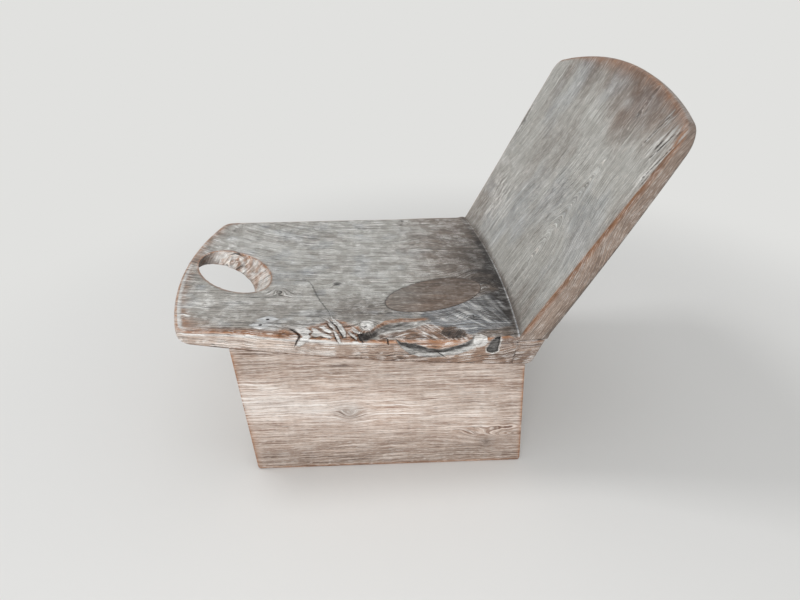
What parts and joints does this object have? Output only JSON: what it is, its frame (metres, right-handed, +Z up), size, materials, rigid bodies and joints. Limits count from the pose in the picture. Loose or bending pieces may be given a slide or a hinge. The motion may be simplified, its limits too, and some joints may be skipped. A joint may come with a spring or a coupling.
{
  "type": "low raked chair",
  "caption": "Low wooden chair: a seat slab with an oval hand hole, a raked back slab let into its rear and a hollow board base.",
  "frame": {"origin": "on the floor, under the middle of the chair's outer box", "axes": "+X towards the sitter's left, along the width; +Y from the front edge to the back; +Z up"},
  "size_m": [0.4985, 0.7333, 0.5822],
  "materials": {
    "seat_wood": "weathered grey-brown teak, satin, warm worn edges",
    "back_wood": "weathered grey teak, satin, warm worn edges",
    "base_wood": "pale pinkish-brown teak, dry satin",
    "patch_wood": "brown straight-grained teak, satin",
    "inner_wood": "sawn hardwood, dry",
    "dowel_wood": "turned hardwood, dry",
    "screw_steel": "plain steel",
    "bolt_steel": "zinc-plated steel"
  },
  "bodies": {
    "root": {"seat_slab": "seat_wood", "seat_patch": "patch_wood", "back_slab": "back_wood", "base_side_left": "base_wood", "base_side_right": "base_wood", "base_front_board": "base_wood", "base_rear_board": "base_wood", "seat_cleat_left": "inner_wood", "seat_cleat_right": "inner_wood", "seat_cleat_front": "inner_wood", "seat_cleat_rear": "inner_wood", "corner_block_front_left": "inner_wood", "corner_block_front_right": "inner_wood", "corner_block_rear_left": "inner_wood", "corner_block_rear_right": "inner_wood", "back_dowels": "dowel_wood", "base_dowels": "dowel_wood", "seat_screws": "screw_steel", "cleat_screws": "screw_steel", "block_screws": "screw_steel", "back_bolts": "bolt_steel", "back_washers": "bolt_steel"}
  },
  "joints": []
}
